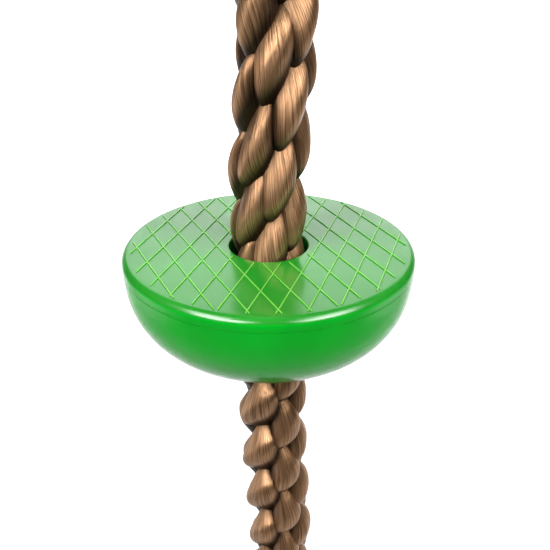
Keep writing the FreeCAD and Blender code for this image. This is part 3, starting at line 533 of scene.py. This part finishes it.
def lathe(section, sides):
    """A closed section turned about the Z axis."""
    vertices = []
    for side in range(sides):
        angle = 2 * math.pi * side / sides
        vertices += [(reach * math.cos(angle), reach * math.sin(angle), z) for reach, z in section]
    faces = []
    count = len(section)
    for side in range(sides):
        here = side * count
        there = (side + 1) % sides * count
        for k in range(count):
            after = (k + 1) % count
            faces.append((here + k, here + after, there + after, there + k))
    return vertices, faces


def cover_section():
    """The tread cover's section, from the rope hole over the tread and the rim down to the seam."""
    hole_edge = (HOLE_RADIUS + HOLE_EDGE_RADIUS, TREAD_Z - HOLE_EDGE_RADIUS)
    rim = (TREAD_RADIUS - TREAD_EDGE_RADIUS, TREAD_Z - TREAD_EDGE_RADIUS)
    lip = (TREAD_RADIUS - SEAM_EDGE_RADIUS, SEAM_Z + SEAM_EDGE_RADIUS)
    section = [(HOLE_RADIUS, COLLAR_Z)]
    section += arc(hole_edge, HOLE_EDGE_RADIUS, 180, 90, HOLE_EDGE_STEPS)
    tread_width = rim[0] - hole_edge[0]
    section += [(hole_edge[0] + tread_width * k / TREAD_RINGS, TREAD_Z) for k in range(1, TREAD_RINGS)]
    section += arc(rim, TREAD_EDGE_RADIUS, 90, 0, TREAD_EDGE_STEPS)
    section += arc(lip, SEAM_EDGE_RADIUS, 0, -90, SEAM_EDGE_STEPS)
    wall = TREAD_RADIUS - COVER_WALL
    under = TREAD_Z - COVER_THICKNESS
    collar = HOLE_RADIUS + COLLAR_WALL
    section += [(wall, SEAM_Z), (wall, under), (collar, under), (collar, COLLAR_Z)]
    return section


def ridge_run(start, end, offset):
    """One rounded ridge along its own line, tapered at its ends: its points, its faces, and how far each
    point is raised from 0 to 1."""
    along = [start + step for step in RIDGE_END_STEPS]
    along += [end - step for step in reversed(RIDGE_END_STEPS)]
    foot = TREAD_Z - RIDGE_SINK
    points = []
    raised = []
    for place in along:
        inset = min(place - start, end - place) / RIDGE_END_STEPS[-1]
        share = math.sqrt(1 - (1 - min(inset, 1)) ** 2)
        for k in range(RIDGE_SIDES + 1):
            angle = math.pi * k / RIDGE_SIDES
            across = offset + RIDGE_WIDTH / 2 * share * math.cos(angle)
            lift = share * math.sin(angle)
            points.append((across, place, foot + (RIDGE_HEIGHT + RIDGE_SINK) * lift))
            raised.append(lift)
    count = RIDGE_SIDES + 1
    faces = [
        (row * count + k, (row + 1) * count + k, (row + 1) * count + k + 1, row * count + k + 1)
        for row in range(len(along) - 1)
        for k in range(RIDGE_SIDES)
    ]
    return points, faces, raised


def ridge_runs():
    """The start, end and offset of every ridge in one direction. Those that meet the rope hole stop
    at it."""
    runs = []
    count = int(RIDGE_FIELD_RADIUS / RIDGE_SPACING)
    gap = HOLE_RADIUS + 2 * HOLE_EDGE_RADIUS
    for k in range(-count, count + 1):
        offset = k * RIDGE_SPACING
        half = math.sqrt(RIDGE_FIELD_RADIUS ** 2 - offset ** 2)
        if abs(offset) < gap:
            stop = math.sqrt(gap ** 2 - offset ** 2)
            runs += [(-half, -stop, offset), (stop, half, offset)]
        else:
            runs.append((-half, half, offset))
    return runs


def make_cover(darker_painted_plastic, rim):
    """The tread cover with its ridges, in one plastic painted darker on the tread and painted lighter on
    the rim.
    """
    vertices, faces = lathe(cover_section(), COVER_SIDES)
    raised = [0.0] * len(vertices)
    for direction in RIDGE_DIRECTIONS:
        turn = Matrix.Rotation(math.radians(direction), 3, "Z")
        for start, end, offset in ridge_runs():
            points, quads, heights = ridge_run(start, end, offset)
            first = len(vertices)
            vertices += [turn @ Vector(point) for point in points]
            faces += [tuple(first + k for k in quad) for quad in quads]
            raised += heights
    cover = new_piece("tread_cover_moulded", vertices, faces)
    cover.data.set_sharp_from_angle(angle=SHARP_ANGLE)
    cover.data.attributes.new("raised", "FLOAT", "POINT").data.foreach_set("value", raised)
    cover.data.materials.append(darker_painted_plastic)
    cover.data.materials.append(rim)
    # Painted light: the up-facing tread takes the darker-painted copy of the plastic, the rim the
    # lighter-painted one
    for face in cover.data.polygons:
        face.material_index = 0 if face.normal.z > RIM_SLOPE else 1
    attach(cover, "climbing_rope")
    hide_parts("tread_cover")


# ---- Materials ----

def object_noise(tree, scale, detail=3.0, stretch=(1, 1, 1)):
    """Noise fixed to the object, with its scale in features per metre."""
    place = tree.nodes.new("ShaderNodeTexCoord")
    mapping = tree.nodes.new("ShaderNodeMapping")
    mapping.inputs["Scale"].default_value = stretch
    texture = tree.nodes.new("ShaderNodeTexNoise")
    texture.inputs["Scale"].default_value = scale
    texture.inputs["Detail"].default_value = detail
    tree.links.new(place.outputs["Object"], mapping.inputs["Vector"])
    tree.links.new(mapping.outputs["Vector"], texture.inputs["Vector"])
    return texture.outputs["Fac"]


def colour_ramp(tree, value, stops):
    """A ramp through (place, colour) stops."""
    ramp = tree.nodes.new("ShaderNodeValToRGB")
    elements = ramp.color_ramp.elements
    while len(elements) < len(stops):
        elements.new(0.5)
    for element, (place, colour) in zip(elements, stops):
        element.position = place
        element.color = (*colour, 1)
    tree.links.new(value, ramp.inputs["Fac"])
    return ramp.outputs["Color"]


def value_range(tree, value, low, high, source=(0.3, 0.7), kind="LINEAR"):
    """The value moved from the source range to low and high, and held between them."""
    node = tree.nodes.new("ShaderNodeMapRange")
    node.interpolation_type = kind
    node.inputs["From Min"].default_value, node.inputs["From Max"].default_value = source
    node.inputs["To Min"].default_value = low
    node.inputs["To Max"].default_value = high
    tree.links.new(value, node.inputs["Value"])
    return node.outputs["Result"]


def mixed(tree, share, first, second, way="MIX"):
    """Two colours mixed. Each input is a number, a colour or another node's output."""
    node = tree.nodes.new("ShaderNodeMix")
    node.data_type = "RGBA"
    node.blend_type = way
    for socket, source in (("Factor", share), ("A", first), ("B", second)):
        if isinstance(source, (int, float)):
            node.inputs[socket].default_value = source
        elif isinstance(source, tuple):
            node.inputs[socket].default_value = (*source, 1)
        else:
            tree.links.new(source, node.inputs[socket])
    return node.outputs["Result"]


def bumped(tree, shader, heights):
    """Bump from (value, distance in mm, strength) layers, one over the other."""
    normal = None
    for value, distance, strength in heights:
        node = tree.nodes.new("ShaderNodeBump")
        node.inputs["Distance"].default_value = distance * MM
        node.inputs["Strength"].default_value = strength
        tree.links.new(value, node.inputs["Height"])
        if normal is not None:
            tree.links.new(normal, node.inputs["Normal"])
        normal = node.outputs["Normal"]
    tree.links.new(normal, shader.inputs["Normal"])


def worn_edges(tree):
    """1 on convex edges, broken up by noise, and 0 elsewhere."""
    geometry = tree.nodes.new("ShaderNodeNewGeometry")
    edge = value_range(tree, geometry.outputs["Pointiness"], 0, 1, source=(0.52, 0.62))
    patches = value_range(tree, object_noise(tree, 400), 0, 1, source=(0.35, 0.6))
    both = tree.nodes.new("ShaderNodeMath")
    both.operation = "MULTIPLY"
    tree.links.new(edge, both.inputs[0])
    tree.links.new(patches, both.inputs[1])
    return both.outputs["Value"]


def mesh_value(tree, name):
    """A number stored on the mesh's vertices."""
    node = tree.nodes.new("ShaderNodeAttribute")
    node.attribute_name = name
    return node.outputs["Fac"]


def fibre_material():
    """Shiny tan yarn: fine streaks along each strand, with painted shade in the creases and on the lower
    half of each lobe.
    """
    material, shader = principled("rope_fibre")
    tree = material.node_tree
    uv = tree.nodes.new("ShaderNodeUVMap")
    uv.uv_map = "fibres"
    mapping = tree.nodes.new("ShaderNodeMapping")
    mapping.inputs["Scale"].default_value = FIBRE_SCALE
    texture = tree.nodes.new("ShaderNodeTexNoise")
    texture.inputs["Scale"].default_value = 1.0
    texture.inputs["Detail"].default_value = 4
    tree.links.new(uv.outputs["UV"], mapping.inputs["Vector"])
    tree.links.new(mapping.outputs["Vector"], texture.inputs["Vector"])
    streaks = texture.outputs["Fac"]
    yarn = colour_ramp(tree, streaks, [(0.3, FIBRE_DARK), (0.7, FIBRE_LIGHT)])
    # Painted shade: the yarn colour is darkened where a vertex lies deep in a crease or on the lower half
    # of a lobe
    painted_shade_openness = mesh_value(tree, "open")
    shade = value_range(
        tree, painted_shade_openness, CREASE_SHADE, 1, source=(CREASE_OPEN, CREST_OPEN), kind="SMOOTHSTEP",
    )
    tree.links.new(mixed(tree, 1, yarn, shade, way="MULTIPLY"), shader.inputs["Base Color"])
    bumped(tree, shader, [(streaks, 0.4, 0.8)])
    tangent = tree.nodes.new("ShaderNodeTangent")
    tangent.direction_type = "UV_MAP"
    tangent.uv_map = "fibres"
    tree.links.new(tangent.outputs["Tangent"], shader.inputs["Tangent"])
    shader.inputs["Metallic"].default_value = 0.8
    shader.inputs["Roughness"].default_value = 0.33
    shader.inputs["Anisotropic"].default_value = 0.9
    shader.inputs["Specular IOR Level"].default_value = 0.6
    return material


def green_plastic(name, colour, specular):
    """Glossy moulded polyethylene: faint mottling, a fine moulded grain, and a painted highlight on the
    ridge tops.
    """
    material, shader = principled(name)
    tree = material.node_tree
    deep = tuple(MOTTLE_SHADE * channel for channel in colour)
    body = colour_ramp(tree, object_noise(tree, 35, 2), [(0.35, deep), (0.65, colour)])
    # Painted highlight: the ridge tops are mixed towards a paler green
    top = value_range(tree, mesh_value(tree, "raised"), 0, RIDGE_HIGHLIGHT_SHARE, source=(0.45, 0.95))
    tree.links.new(mixed(tree, top, body, RIDGE_PAINTED_HIGHLIGHT), shader.inputs["Base Color"])
    smudges = object_noise(tree, 60, 4)
    tree.links.new(value_range(tree, smudges, 0.16, 0.27), shader.inputs["Roughness"])
    scratches = object_noise(tree, 500, 2, stretch=(1, 0.08, 1))
    bumped(tree, shader, [
        (object_noise(tree, 22, 1), 0.5, 0.25),
        (object_noise(tree, 900, 3), 0.03, 0.25),
        (scratches, 0.02, 0.25),
    ])
    shader.inputs["Specular IOR Level"].default_value = specular
    shader.inputs["Subsurface Weight"].default_value = 0.2
    shader.inputs["Subsurface Radius"].default_value = (0.2, 1.0, 0.25)
    shader.inputs["Subsurface Scale"].default_value = 4 * MM
    return material


def zinc_steel():
    """Bright zinc plate with a faint bluish bloom, satin patches and scuffed edges."""
    material, shader = principled("zinc_steel")
    tree = material.node_tree
    plate = colour_ramp(
        tree, object_noise(tree, 120, 4),
        [(0.3, (0.50, 0.51, 0.54)), (0.52, (0.64, 0.65, 0.66)), (0.75, (0.72, 0.71, 0.66))],
    )
    tree.links.new(mixed(tree, worn_edges(tree), plate, (0.80, 0.80, 0.80)), shader.inputs["Base Color"])
    tree.links.new(value_range(tree, object_noise(tree, 260, 4), 0.24, 0.44), shader.inputs["Roughness"])
    bumped(tree, shader, [
        (object_noise(tree, 700, 3), 0.03, 0.3),
        (object_noise(tree, 900, 2, stretch=(1, 0.05, 1)), 0.02, 0.3),
    ])
    shader.inputs["Metallic"].default_value = 1
    return material


def forged_steel():
    """Hot-dip galvanised forging: matt grey, with a frosted spangle and shallow pits."""
    material, shader = principled("forged_steel")
    tree = material.node_tree
    place = tree.nodes.new("ShaderNodeTexCoord")
    spangle = tree.nodes.new("ShaderNodeTexVoronoi")
    spangle.inputs["Scale"].default_value = 420
    tree.links.new(place.outputs["Object"], spangle.inputs["Vector"])
    frost = tree.nodes.new("ShaderNodeRGBToBW")
    tree.links.new(spangle.outputs["Color"], frost.inputs["Color"])
    skin = colour_ramp(tree, frost.outputs["Val"], [(0.2, (0.36, 0.37, 0.38)), (0.8, (0.52, 0.53, 0.54))])
    stains = value_range(tree, object_noise(tree, 70, 5), 0, 0.5, source=(0.5, 0.75))
    stained = mixed(tree, stains, skin, (0.24, 0.23, 0.22))
    tree.links.new(mixed(tree, worn_edges(tree), stained, (0.66, 0.66, 0.66)), shader.inputs["Base Color"])
    tree.links.new(value_range(tree, frost.outputs["Val"], 0.38, 0.58), shader.inputs["Roughness"])
    bumped(tree, shader, [
        (object_noise(tree, 180, 4), 0.25, 0.35),
        (object_noise(tree, 900, 3), 0.06, 0.3),
    ])
    shader.inputs["Metallic"].default_value = 0.95
    return material


def carabiner_steel():
    """Polished and lightly worn steel, with fine handling scratches."""
    material, shader = principled("carabiner_steel")
    tree = material.node_tree
    skin = colour_ramp(
        tree, object_noise(tree, 90, 4), [(0.3, (0.58, 0.59, 0.61)), (0.7, (0.74, 0.74, 0.75))],
    )
    rubbed = value_range(tree, object_noise(tree, 45, 3), 0, 0.5, source=(0.5, 0.7))
    tree.links.new(mixed(tree, rubbed, skin, (0.46, 0.46, 0.47)), shader.inputs["Base Color"])
    tree.links.new(value_range(tree, object_noise(tree, 150, 4), 0.13, 0.30), shader.inputs["Roughness"])
    bumped(tree, shader, [
        (object_noise(tree, 1400, 2, stretch=(1, 1, 0.04)), 0.02, 0.35),
        (object_noise(tree, 1100, 2, stretch=(0.06, 1, 1)), 0.02, 0.25),
    ])
    shader.inputs["Metallic"].default_value = 1
    return material


def sleeve_steel():
    """Satin turned steel: rings left by the lathe, with grime between the flutes."""
    material, shader = principled("sleeve_steel")
    tree = material.node_tree
    rings = object_noise(tree, 1600, 2, stretch=(0.03, 0.03, 1))
    skin = colour_ramp(tree, rings, [(0.3, (0.40, 0.41, 0.42)), (0.7, (0.60, 0.61, 0.62))])
    grime = value_range(tree, object_noise(tree, 220, 4), 0, 0.55, source=(0.5, 0.7))
    soiled = mixed(tree, grime, skin, (0.16, 0.15, 0.14))
    tree.links.new(mixed(tree, worn_edges(tree), soiled, (0.78, 0.78, 0.78)), shader.inputs["Base Color"])
    tree.links.new(value_range(tree, object_noise(tree, 260, 4), 0.26, 0.46), shader.inputs["Roughness"])
    bumped(tree, shader, [(rings, 0.03, 0.4)])
    shader.inputs["Metallic"].default_value = 1
    return material


def spring_steel():
    """Bright drawn wire, a little blued."""
    material, shader = principled("spring_steel")
    tree = material.node_tree
    tint = colour_ramp(
        tree, object_noise(tree, 500, 3), [(0.3, (0.30, 0.32, 0.38)), (0.7, (0.52, 0.50, 0.47))],
    )
    tree.links.new(tint, shader.inputs["Base Color"])
    tree.links.new(value_range(tree, object_noise(tree, 700, 3), 0.18, 0.34), shader.inputs["Roughness"])
    bumped(tree, shader, [(object_noise(tree, 2500, 2), 0.01, 0.3)])
    shader.inputs["Metallic"].default_value = 1
    return material


def bush_bronze():
    """Machined bronze with turning marks and a brown tarnish in patches."""
    material, shader = principled("bush_bronze")
    tree = material.node_tree
    marks = object_noise(tree, 1400, 2, stretch=(0.05, 1, 0.05))
    skin = colour_ramp(tree, marks, [(0.3, (0.55, 0.36, 0.15)), (0.7, (0.72, 0.50, 0.24))])
    tarnish = value_range(tree, object_noise(tree, 160, 5), 0, 0.7, source=(0.48, 0.7))
    tree.links.new(mixed(tree, tarnish, skin, (0.20, 0.11, 0.05)), shader.inputs["Base Color"])
    tree.links.new(value_range(tree, object_noise(tree, 300, 4), 0.24, 0.42), shader.inputs["Roughness"])
    bumped(tree, shader, [(marks, 0.02, 0.35)])
    shader.inputs["Metallic"].default_value = 1
    return material


def boot_rubber():
    """Moulded black rubber with a fine pebbled skin and a chalky bloom."""
    material, shader = principled("boot_rubber")
    tree = material.node_tree
    bloom = value_range(tree, object_noise(tree, 55, 5), 0, 0.6, source=(0.45, 0.75))
    skin = mixed(tree, bloom, (0.018, 0.018, 0.019), (0.075, 0.072, 0.068))
    tree.links.new(skin, shader.inputs["Base Color"])
    tree.links.new(value_range(tree, object_noise(tree, 160, 4), 0.48, 0.72), shader.inputs["Roughness"])
    bumped(tree, shader, [
        (object_noise(tree, 1300, 2), 0.12, 0.4),
        (object_noise(tree, 60, 2), 0.4, 0.25),
    ])
    return material


def clamp_alloy():
    """Die-cast aluminium: pale grey, sandy and slightly blotched."""
    material, shader = principled("clamp_alloy")
    tree = material.node_tree
    skin = colour_ramp(
        tree, object_noise(tree, 110, 5), [(0.3, (0.44, 0.45, 0.46)), (0.7, (0.62, 0.63, 0.64))],
    )
    tree.links.new(mixed(tree, worn_edges(tree), skin, (0.78, 0.78, 0.79)), shader.inputs["Base Color"])
    tree.links.new(value_range(tree, object_noise(tree, 500, 3), 0.40, 0.60), shader.inputs["Roughness"])
    bumped(tree, shader, [(object_noise(tree, 1500, 2), 0.10, 0.4)])
    shader.inputs["Metallic"].default_value = 1
    return material


def dress_nodes(materials):
    """Gives each CAD node the material of its slot."""
    for part in frame["record"]["subparts"]:
        data = frame["nodes"][part["node"]].data
        data.materials.clear()
        data.materials.append(materials[part["material_slot"]])


make_camera()
make_floor()
make_light()
make_rope()
# The same plastic in a lighter-painted copy for the bowl and the rim and a darker-painted copy for the
# tread
lighter_painted_plastic = green_plastic("green_plastic_painted_lighter", BOWL_GREEN_PAINTED_LIGHTER, BOWL_SPECULAR)
make_cover(green_plastic("green_plastic", TREAD_GREEN_PAINTED_DARKER, TREAD_SPECULAR), lighter_painted_plastic)
dress_nodes({
    "green_plastic": lighter_painted_plastic,
    "zinc_steel": zinc_steel(),
    "forged_steel": forged_steel(),
    "carabiner_steel": carabiner_steel(),
    "sleeve_steel": sleeve_steel(),
    "spring_steel": spring_steel(),
    "bush_bronze": bush_bronze(),
    "boot_rubber": boot_rubber(),
    "clamp_alloy": clamp_alloy(),
    "rope_fibre": bpy.data.materials["rope_fibre"],
})
